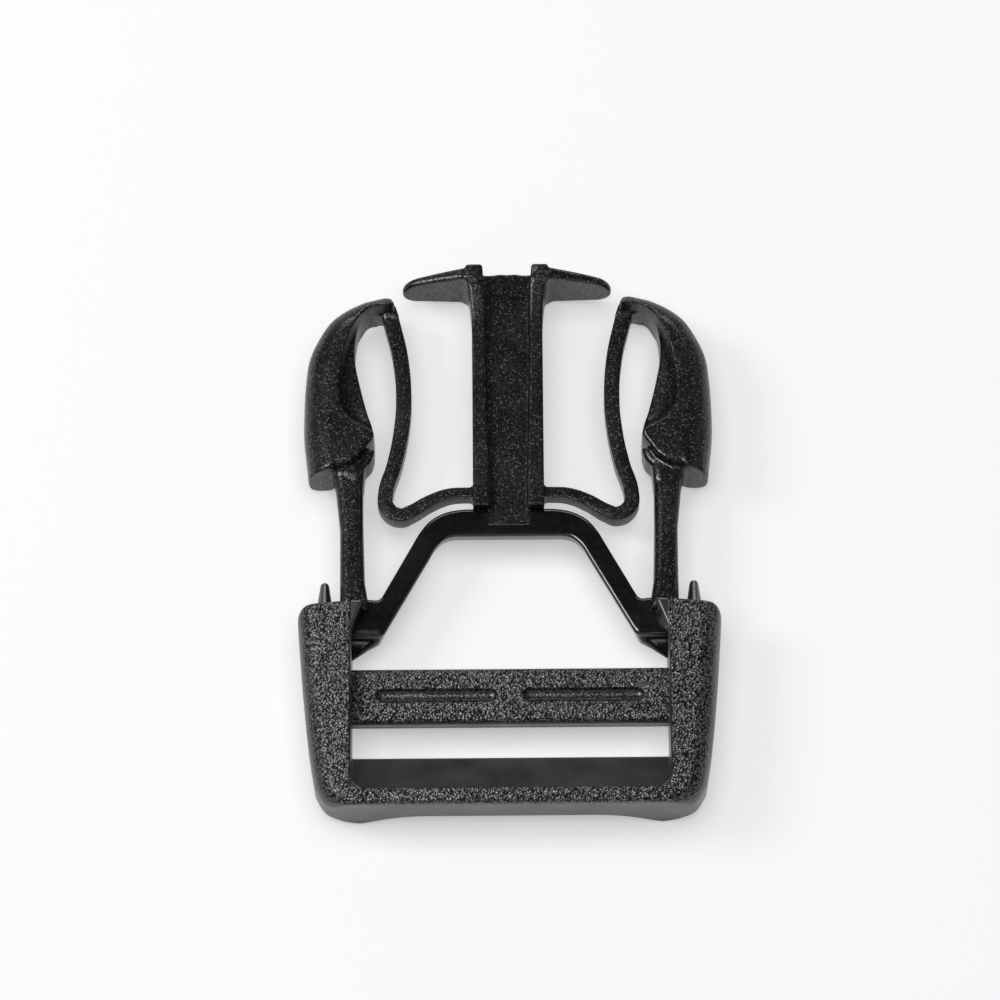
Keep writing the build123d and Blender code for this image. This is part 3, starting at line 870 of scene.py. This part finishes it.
class BUCKLE_OT_stage(bpy.types.Operator):
    """Set the floor, the lights and the camera"""

    bl_idname = "buckle.stage"
    bl_label = "Stage"

    def execute(self, context):
        scene = context.scene
        studio = scene.buckle_studio
        scene.view_settings.view_transform = "Standard"
        reach = 0.6
        mesh = bpy.data.meshes.new("floor")
        mesh.from_pydata(
            [(-reach, -reach, 0), (reach, -reach, 0), (reach, reach, 0), (-reach, reach, 0)], [],
            [(0, 1, 2, 3)])
        floor = bpy.data.objects.new("floor", mesh)
        scene.collection.objects.link(floor)
        paper = bpy.data.materials.new("white_paper")
        paper.use_nodes = True
        tree = paper.node_tree
        tree.nodes.clear()
        # Matt white paper over a light table: it glows a little, so its shadows are faint.
        shader = add(tree, "ShaderNodeBsdfPrincipled", {
            "Base Color": linear("#e8e8e8"), "Roughness": 0.9, "Specular IOR Level": 0.1,
            "Emission Color": linear(studio.floor_colour), "Emission Strength": 0.42})
        add(tree, "ShaderNodeOutputMaterial", {"Surface": shader.outputs["BSDF"]})
        mesh.materials.append(paper)
        # The softboxes only make the plastic shine: the floor is lit by the two lights after them.
        for name, place, size, power in (
            ("key_softbox", (-0.116, -0.04, 0.215), (0.12, 0.12), 0.9),
            ("left_softbox", (-0.35, -0.02, 0.2), (0.35, 0.25), 0.25),
            ("right_softbox", (0.35, 0.02, 0.2), (0.35, 0.25), 0.14),
            ("back_softbox", (0.0, 0.4, 0.22), (0.5, 0.1), 1.3),
            ("front_softbox", (0.05, -0.4, 0.14), (0.5, 0.12), 0.55),
        ):
            softbox(name, place, (0, 0, 0), size, power).visible_diffuse = False
        softbox("side_shade", (-0.4, 0.1, 0.35), (0, 0, 0), (0.18, 0.18), 0.65).visible_glossy = False
        softbox("floor_wash", (0, 0, 1.2), (0, 0, 0), (1.0, 1.0), 7.9).visible_glossy = False
        world = bpy.data.worlds.new("studio_air")
        world.use_nodes = True
        world.node_tree.nodes["Background"].inputs["Color"].default_value = (0.9, 0.95, 1.0, 1.0)
        world.node_tree.nodes["Background"].inputs["Strength"].default_value = 0.08
        scene.world = world
        camera = bpy.data.cameras.new("camera")
        camera.lens = studio.lens
        camera.sensor_width = 36.0
        camera.clip_start = 0.01
        eye = bpy.data.objects.new("camera", camera)
        scene.collection.objects.link(eye)
        aim = Vector((-0.72 / MM, 3.6 / MM, MID / MM))
        back = Vector((0, -math.cos(studio.elevation), math.sin(studio.elevation)))
        eye.location = aim + back * studio.away
        turn = Matrix.Rotation(math.pi / 2 - studio.elevation, 4, "X")
        eye.rotation_euler = (turn @ Matrix.Rotation(-studio.roll, 4, "Z")).to_euler()
        scene.camera = eye
        return {"FINISHED"}


PIECES = (
    BUCKLE_OT_webbing_frame, BUCKLE_OT_slider_bar, BUCKLE_OT_yoke, BUCKLE_OT_guide_post, BUCKLE_OT_prongs,
    BUCKLE_OT_springs, BUCKLE_OT_stage)


class BUCKLE_PT_panel(bpy.types.Panel):
    """Lists the steps that make the buckle plug"""

    bl_label = "Buckle plug"
    bl_idname = "BUCKLE_PT_panel"
    bl_space_type = "VIEW_3D"
    bl_region_type = "UI"
    bl_category = "Buckle plug"

    def draw(self, context):
        for piece in PIECES:
            self.layout.operator(piece.bl_idname)
        scene = context.scene
        for settings in (scene.buckle_looks, scene.buckle_ribbon, scene.buckle_studio):
            for name in settings.bl_rna.properties.keys():
                if name not in ("rna_type", "name"):
                    self.layout.prop(settings, name)


CLASSES = (BuckleLooks, RibbonSizes, StudioSettings, *PIECES, BUCKLE_PT_panel)


def register():
    """Registers the classes and puts their settings on the scene."""
    for kind in CLASSES:
        bpy.utils.register_class(kind)
    bpy.types.Scene.buckle_looks = bpy.props.PointerProperty(type=BuckleLooks)
    bpy.types.Scene.buckle_ribbon = bpy.props.PointerProperty(type=RibbonSizes)
    bpy.types.Scene.buckle_studio = bpy.props.PointerProperty(type=StudioSettings)


def unregister():
    """Takes the settings and the classes away again."""
    del bpy.types.Scene.buckle_studio
    del bpy.types.Scene.buckle_ribbon
    del bpy.types.Scene.buckle_looks
    for kind in reversed(CLASSES):
        bpy.utils.unregister_class(kind)


def main():
    """Registers the classes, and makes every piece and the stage."""
    register()
    for piece in PIECES:
        getattr(bpy.ops.buckle, piece.bl_idname.split(".")[1])()


if __name__ == "__main__":
    main()
